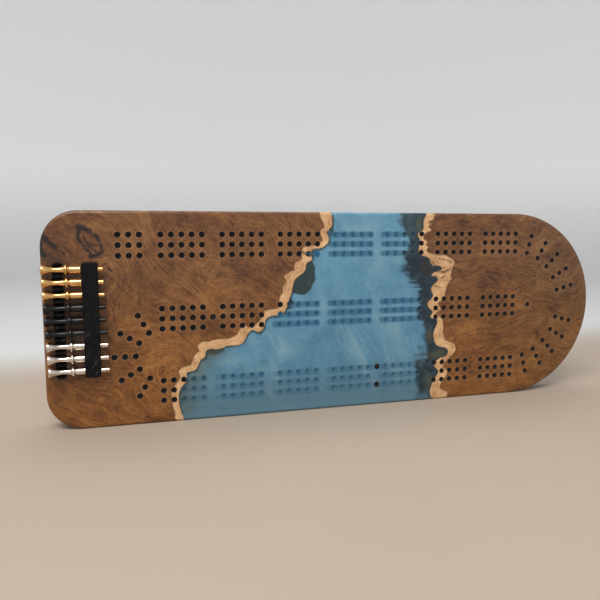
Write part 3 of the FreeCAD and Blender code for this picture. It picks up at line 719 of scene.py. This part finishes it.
def resin_material():
    """Pearly blue casting resin, dark where it lies thin over the bark."""
    n = Nodes("river_resin")
    x, y, z = n.add("SeparateXYZ", {0: n.mm}).outputs
    cloud = n.noise(0.022, 4, 0.55, distortion=0.7)
    tilt = n.calc("ADD", n.calc("MULTIPLY", x, 0.06), n.calc("MULTIPLY", z, 0.03))
    across = n.calc("SUBTRACT", n.calc("MULTIPLY", z, 0.012), n.calc("MULTIPLY", x, 0.006))
    drift = n.noise(1, 4, 0.6, n.stretched(tilt, n.calc("MULTIPLY", y, 0.03), across), 0.8)
    mica = n.noise(1.1, 2, 0.7)
    # The step in z makes the resin lighter towards the top: painted light.
    tone = n.total(n.calc("MULTIPLY", cloud, 0.55), n.calc("MULTIPLY", n.noise(0.09, 3), 0.40),
                   n.calc("MULTIPLY", n.noise(0.4, 4, 0.65), 0.36), n.calc("MULTIPLY", mica, 0.20),
                   n.step(z, 0, 130, -0.02, 0.10), -0.28)
    blue = n.ramp(tone, [(0.25, (0.050, 0.150, 0.235)), (0.5, (0.083, 0.220, 0.330)),
                         (0.75, (0.135, 0.300, 0.410))])
    pearl = n.step(drift, 0.52, 0.76)
    blue = n.mix(n.calc("MULTIPLY", pearl, 0.46), blue, (0.27, 0.40, 0.44))
    # Painted shade: the resin is made darker and greyer towards the bottom, where less light falls.
    bottom_shade = n.step(z, 2, 42, 0.8, 0)
    blue = n.mix(bottom_shade, blue, (0.078, 0.150, 0.190))
    blue = n.mix(n.total(n.field("pale"), n.wobble(0.12, 0.1, 3)), blue, (0.195, 0.335, 0.400))
    shade = n.step(n.total(n.field("shadow"), n.wobble(0.5, 0.2)), 1.45, 2.5, 1, 0)
    shade = n.calc("MULTIPLY", shade, n.step(n.noise(0.22, 2), 0.3, 0.6, 0.75, 1))
    shade = n.calc("MULTIPLY", shade, n.step(z, 20, 62, 0.42, 0.80))
    blue = n.mix(shade, blue, (0.028, 0.102, 0.180))
    # Painted shadow: a darker crescent offset from each hole's mouth, for the bore seen through the
    # resin.
    sunk = n.step(n.field("sunk"), 1.6, 2.1, 0.55, 0)
    blue = n.mix(sunk, blue, (0.018, 0.065, 0.130))
    depth, ink, olive = resin_ink(n, x, z)
    blue = n.mix(n.calc("MULTIPLY", olive, 0.72), blue, (0.066, 0.084, 0.068))
    colour = n.mix(depth, blue, ink)
    # Painted reflection: a lighter blue band along the bottom edge.
    bottom_edge_reflection = n.step(n.total(z, n.wobble(0.05, 0.8)), 3.5, 7, 0.4, 0)
    colour = n.mix(bottom_edge_reflection, colour, (0.085, 0.195, 0.270))
    fringe = n.total(n.field("edge"), n.wobble(0.14, 1.5, 3), n.wobble(0.8, 1.0, 3))
    colour = n.mix(n.step(fringe, 0.4, 2.2, 0.8, 0), colour, (0.016, 0.034, 0.040))
    haze = n.noise(0.25, 3)
    return n.surface(
        Base_Color=colour, Roughness=n.step(haze, 0.3, 0.7, 0.28, 0.40), Specular_IOR_Level=0.18,
        Subsurface_Weight=0.12, Subsurface_Scale=0.0015, Subsurface_Radius=(0.5, 0.9, 1.2),
        Coat_Weight=0.42, Coat_Roughness=n.step(haze, 0.3, 0.7, 0.05, 0.12),
        Coat_Normal=n.bump(n.noise(0.10, 2), 0.03), Normal=n.bump(mica, 0.01))


def resin_bore_material():
    """Hole walls in the resin, with a painted glow for the light the resin lets through and painted
    shade on the lower and deeper wall.
    """
    n = Nodes("drilled_resin")
    x, y, z = n.add("SeparateXYZ", {0: n.mm}).outputs
    marks = n.noise(1, 3, 0.6, n.stretched(x, n.calc("MULTIPLY", y, 3.0), z))
    facing = n.add("SeparateXYZ", {0: n.add("NewGeometry").outputs["Normal"]}).outputs[2]
    # Painted shade: walls that face up and lie deeper in the bore are made darker.
    lower_wall_shade = n.step(n.total(facing, n.step(y, FRONT_Y, FRONT_Y + 9, -0.4, 0.4)), -0.7, 0.9)
    blue = n.mix(marks, (0.044, 0.125, 0.190), (0.060, 0.152, 0.225))
    blue = n.mix(lower_wall_shade, blue, (0.028, 0.095, 0.160))
    # Painted shade: darker towards the bottom rows, as on the resin's face.
    blue = n.mix(n.step(z, 12, 48, 0.8, 0), blue, (0.058, 0.108, 0.148))
    depth, ink, olive = resin_ink(n, x, z)
    blue = n.mix(n.calc("MULTIPLY", olive, 0.72), blue, (0.040, 0.055, 0.050))
    colour = n.mix(depth, blue, n.mix(0.4, ink, (0.050, 0.066, 0.080)))
    # The emission is a painted glow standing in for light through the resin.
    return n.surface(Base_Color=colour, Roughness=0.7, Specular_IOR_Level=0.1,
                     Emission_Color=colour, Emission_Strength=0.75, Normal=n.bump(marks, 0.03))


def metal_material(name, colour, dull, shine, metallic=1.0, coat=0.0):
    """Turned metal: fine rings along the peg and faint handling marks."""
    n = Nodes(name)
    x, y, z = n.add("SeparateXYZ", {0: n.mm}).outputs
    rings = n.noise(1, 4, 0.7, n.stretched(n.calc("MULTIPLY", x, 6.0), n.calc("MULTIPLY", y, 0.15),
                                           n.calc("MULTIPLY", z, 0.15)))
    smudge = n.noise(0.35, 3, 0.6)
    tint = n.mix(n.step(smudge, 0.35, 0.75), colour, dull)
    wear = n.calc("ADD", n.step(smudge, 0.3, 0.7, shine, shine + 0.10),
                  n.calc("MULTIPLY", rings, 0.08))
    return n.surface(Base_Color=tint, Metallic=metallic, Roughness=wear,
                     Specular_IOR_Level=0.2, Coat_Weight=coat,
                     Coat_Roughness=0.08, Normal=n.bump(rings, 0.012))


def strip_material():
    """Black rubber with a dull sheen, scuffs and painted glints along slanted creases."""
    n = Nodes("black_rubber")
    grain = n.noise(3.5, 3, 0.65)
    scuff = n.step(n.noise(0.5, 4, 0.65, distortion=1.5), 0.55, 0.75)
    x, y, z = n.add("SeparateXYZ", {0: n.mm}).outputs
    slant = n.calc("ADD", n.calc("MULTIPLY", z, 0.55), n.calc("MULTIPLY", x, -0.75))
    along = n.calc("ADD", n.calc("MULTIPLY", z, 0.09), n.calc("MULTIPLY", x, 0.07))
    # Painted highlights: pale glints along slanted creases, stronger low on the strip.
    crease_glints = n.step(n.noise(1, 3, 0.55, n.stretched(slant, along, 0.0), 0.5), 0.58, 0.72)
    crease_glints = n.calc("MULTIPLY", crease_glints, n.step(z, 45, 90, 0.7, 0.15))
    colour = n.mix(n.calc("MULTIPLY", scuff, 0.5), (0.004, 0.004, 0.005), (0.016, 0.016, 0.018))
    colour = n.mix(crease_glints, colour, (0.095, 0.086, 0.078))
    return n.surface(Base_Color=colour, Roughness=n.step(scuff, 0, 1, 0.34, 0.5),
                     Specular_IOR_Level=0.12, Normal=n.bump(grain, 0.04))


def plug_material(name, centre, rim, core):
    """A dowel's end: ringed, darker towards its rim."""
    n = Nodes(name)
    x, y, z = n.add("SeparateXYZ", {0: n.mm}).outputs
    off_x = n.calc("SUBTRACT", x, centre[0])
    off_z = n.calc("SUBTRACT", z, centre[1])
    reach = n.calc("ADD", n.distance(off_x, off_z), n.wobble(1.2, 0.25))
    rings = n.calc("MULTIPLY", n.calc("SINE", n.calc("MULTIPLY", reach, 14.0)), 0.12)
    colour = n.mix(n.calc("ADD", n.step(reach, 0.35, 1.35), rings), core, rim)
    return n.surface(Base_Color=colour, Roughness=0.6, Specular_IOR_Level=0.05,
                     Coat_Weight=0.05, Coat_Roughness=0.15, Normal=n.bump(rings, 0.04))


def paper_material():
    """Plain pale floor, grey behind the board and far away, paler up the backdrop."""
    n = Nodes("studio_floor")
    x, y, z = n.add("SeparateXYZ", {0: n.mm}).outputs
    tone = n.noise(0.004, 3)
    floor = n.mix(tone, (0.37, 0.30, 0.235), (0.42, 0.345, 0.275))
    far = n.calc("MAXIMUM", n.step(y, 110, 260), n.step(n.distance(x, y), 700, 1050))
    behind = n.mix(far, floor, (0.60, 0.605, 0.605))
    colour = n.mix(n.step(z, 0, 300), behind, (0.84, 0.85, 0.85))
    return n.surface(Base_Color=colour, Roughness=0.8, Normal=n.bump(n.noise(0.8, 2), 0.02))


def arc_through(first, middle, last, count):
    """Points of the circular arc that passes through three points."""
    (ax, ay), (bx, by), (cx, cy) = first, middle, last
    d = 2 * (ax * (by - cy) + bx * (cy - ay) + cx * (ay - by))
    a2, b2, c2 = ax * ax + ay * ay, bx * bx + by * by, cx * cx + cy * cy
    ux = (a2 * (by - cy) + b2 * (cy - ay) + c2 * (ay - by)) / d
    uy = (a2 * (cx - bx) + b2 * (ax - cx) + c2 * (bx - ax)) / d
    radius = math.hypot(ax - ux, ay - uy)
    return [(x, uy - math.sqrt(radius ** 2 - (x - ux) ** 2)) for x in np.linspace(ax, cx, count)]


def softened(points, radius, steps=4):
    """The same half profile with its inner corners rounded."""
    result = [points[0]]
    for before, corner, after in zip(points, points[1:], points[2:]):
        corner = np.array(corner, float)
        back, ahead = np.subtract(before, corner), np.subtract(after, corner)
        start = corner + back * min(radius / np.linalg.norm(back), 0.4)
        end = corner + ahead * min(radius / np.linalg.norm(ahead), 0.4)
        for t in np.linspace(0, 1, steps + 1):
            point = (1 - t) ** 2 * start + 2 * t * (1 - t) * corner + t ** 2 * end
            result.append(tuple(point))
    result.append(points[-1])
    return result


def lathe(name, profile, origin, material, sides=56):
    """Turn a half profile of (distance, radius) about an axis along +X, in millimetres."""
    places, rings = [], []
    for distance, radius in profile:
        start = len(places)
        count = 1 if radius == 0 else sides
        for side in range(count):
            turn = 2 * math.pi * side / sides
            places.append((origin[0] + distance, origin[1] - radius * math.cos(turn),
                           origin[2] + radius * math.sin(turn)))
        rings.append([start + side % count for side in range(sides)])
    faces = []
    for ring, following in zip(rings, rings[1:]):
        for side in range(sides):
            other = (side + 1) % sides
            loop = [ring[side], following[side], following[other], ring[other]]
            loop = [v for i, v in enumerate(loop) if v not in loop[:i]]
            for third in range(2, len(loop)):
                faces.append([loop[0], loop[third - 1], loop[third]])
    return new_mesh(name, np.array(places), np.array(faces), [material], sharp=60)


def make_peg(node, material):
    """A turned metal peg in its CAD peg's place."""
    low, high = (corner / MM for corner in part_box(node))
    waist = arc_through(HEAD_PROFILE[-1], WAIST, SHAFT_PROFILE[0], 28)
    head, shaft = softened(HEAD_PROFILE, 0.35), softened(SHAFT_PROFILE, 0.16)
    profile = head[:-1] + waist + shaft[1:]
    origin = (low.x, (low.y + high.y) / 2, (low.z + high.z) / 2)
    peg = lathe(node + "_turned", profile, origin, material)
    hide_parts(node)
    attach(peg, node)
    return peg


def creases(x, z):
    """How far the rubber's front dips at each point, in millimetres."""
    slant = z + 0.9 * x + 1.6 * np.sin(z / 4.3) + 0.8 * np.sin(x * 1.1 + z / 9)
    wide = (0.5 + 0.5 * np.sin(slant * 2 * math.pi / 8.3)) ** 3
    narrow = (0.5 + 0.5 * np.sin(slant * 2 * math.pi / 3.1 + x)) ** 4
    return 0.16 * wide + 0.07 * narrow


def make_strip(node, material, spacing=0.8):
    """A copy of a black strip; only the peg strip's front gets shallow creases."""
    places, corners = welded(node)
    front = places[:, 1].min()
    before = len(places)
    if node == "peg_strip":
        places, corners = swap_face(places, corners, front, -1, spacing)
        fresh = np.arange(len(places)) >= before
        places[fresh, 1] += creases(places[fresh, 0], places[fresh, 2])
    strip = new_mesh(node + "_rubber", places, corners, [material])
    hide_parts(node)
    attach(strip, "board")
    return strip


def make_stage(material):
    """A pale floor that curves up into a low wall all round."""
    reach, bend, top, sides = 1150, 500, 1050, 96
    profile = [(r, 0) for r in (150, 300, 500, 800, reach)]
    for angle in range(5, 91, 5):
        turn = math.radians(angle)
        profile.append((reach + bend * math.sin(turn), bend - bend * math.cos(turn)))
    profile.append((reach + bend, top))
    turns = np.linspace(0, 2 * math.pi, sides, endpoint=False)
    places = [(r * math.cos(turn), r * math.sin(turn), z) for r, z in profile for turn in turns]
    places = np.array(places + [(0, 0, 0)])
    faces = [[len(places) - 1, side, (side + 1) % sides] for side in range(sides)]
    for row in range(len(profile) - 1):
        for side in range(sides):
            a, b = row * sides + side, row * sides + (side + 1) % sides
            faces += [[a, a + sides, b + sides], [a, b + sides, b]]
    floor = new_mesh("studio_floor", places, np.array(faces), [material])
    return floor


def area_light(name, place, target, width, height, power, colour):
    """A soft rectangular light at place, turned towards target; metres and watts."""
    lamp = bpy.data.lights.new(name, "AREA")
    lamp.shape = "RECTANGLE"
    lamp.size, lamp.size_y = width, height
    lamp.energy = power
    lamp.color = colour
    made = bpy.data.objects.new(name, lamp)
    made.location = place
    aim = Vector(target) - Vector(place)
    made.rotation_euler = aim.to_track_quat("-Z", "Y").to_euler()
    bpy.context.scene.collection.objects.link(made)
    return made


def make_lights():
    """One broad soft light above and to the left, a weak fill and a bright sky."""
    area_light("key", (-0.45, -0.78, 1.10), (0, 0, 0.06), 0.8, 0.6, 17.3, (1.0, 0.97, 0.93))
    area_light("fill", (0.95, -0.95, 0.55), (0.05, 0, 0.06), 0.7, 0.7, 1.2, (0.95, 0.97, 1.0))
    area_light("top", (0.10, 0.35, 1.1), (0, 0, 0.1), 0.9, 0.5, 3, (1.0, 0.98, 0.96))
    world = bpy.data.worlds.new("studio")
    world.use_nodes = True
    tree = world.node_tree
    tree.nodes.clear()
    place = tree.nodes.new("ShaderNodeTexCoord").outputs["Generated"]
    split = tree.nodes.new("ShaderNodeSeparateXYZ")
    tree.links.new(place, split.inputs[0])
    band = tree.nodes.new("ShaderNodeValToRGB")
    tree.links.new(split.outputs[2], band.inputs[0])
    stops = [(0.0, (0.86, 0.87, 0.88)), (0.25, (0.55, 0.56, 0.57)), (0.8, (0.62, 0.64, 0.67))]
    band.color_ramp.elements.new(0.5)
    for element, (position, colour) in zip(band.color_ramp.elements, stops):
        element.position = position
        element.color = (*colour, 1)
    glow = tree.nodes.new("ShaderNodeBackground")
    tree.links.new(band.outputs[0], glow.inputs[0])
    glow.inputs[1].default_value = 0.75
    out = tree.nodes.new("ShaderNodeOutputWorld")
    tree.links.new(glow.outputs[0], out.inputs[0])
    bpy.context.scene.world = world


def make_camera():
    """The view fitted to the photo's holes: left of the middle, turned to the right."""
    camera = bpy.data.cameras.new("camera")
    camera.lens, camera.sensor_width = 37.5, 36
    camera.clip_start = 0.01
    made = bpy.data.objects.new("camera", camera)
    right, up = Vector((0.95755, -0.28828, 0.00446)), Vector((0.03199, 0.12161, 0.99207))
    forward = Vector((0.28653, 0.94980, -0.12567))
    turn = Matrix((right, up, -forward)).transposed().to_4x4()
    made.matrix_world = Matrix.Translation((-0.1536, -0.4000, 0.1268)) @ turn
    bpy.context.scene.collection.objects.link(made)
    bpy.context.scene.camera = made


wood, bore_shade = wood_material(), bore_material()
left = board_piece("left_slab", "wood_left", [wood, bore_shade],
                   wood_fields(36, LEFT_SWIRLS, LEFT_SAP, 40, LEFT_PATCHES, LEFT_STREAKS),
                   [LEFT_SAP, *paths_of(LEFT_BARK), *LEFT_STREAKS])
right = board_piece("right_slab", "wood_right", [wood, bore_shade],
                    wood_fields(-4, RIGHT_SWIRLS, RIGHT_SAP, 0, RIGHT_PATCHES, RIGHT_STREAKS),
                    [RIGHT_SAP, *paths_of(RIGHT_BARK), *RIGHT_STREAKS])
river = board_piece("river", "resin_river", [resin_material(), resin_bore_material()],
                    resin_fields, spacing=1.0)

METALS = {
    "gold": metal_material("turned_gold", (0.83, 0.51, 0.21), (0.52, 0.28, 0.11), 0.13),
    "black": metal_material("turned_black", (0.004, 0.004, 0.005), (0.010, 0.010, 0.012), 0.22,
                            metallic=0.0, coat=0.2),
    "silver": metal_material("turned_silver", (0.80, 0.73, 0.67), (0.50, 0.42, 0.36), 0.09),
}
for colour, metal in METALS.items():
    for number in (1, 2, 3):
        make_peg("%s_peg_%d" % (colour, number), metal)
rubber = strip_material()
for node in ("peg_strip", "peg_rest_strip"):
    make_strip(node, rubber)
PLUGS = {
    "skunk_marker": ((0.007, 0.008, 0.010), (0.016, 0.019, 0.023)),
    "double_skunk_marker_upper": ((0.004, 0.004, 0.004), (0.040, 0.022, 0.008)),
    "double_skunk_marker_lower": ((0.004, 0.004, 0.004), (0.040, 0.022, 0.008)),
}
for node, (rim, core) in PLUGS.items():
    low, high = (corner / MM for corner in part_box(node))
    finish = plug_material(node + "_end", ((low.x + high.x) / 2, (low.z + high.z) / 2), rim, core)
    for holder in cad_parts[node].material_slots:
        holder.link = "OBJECT"
        holder.material = finish

make_stage(paper_material())
make_lights()
make_camera()
bpy.context.scene.view_settings.view_transform = "Standard"
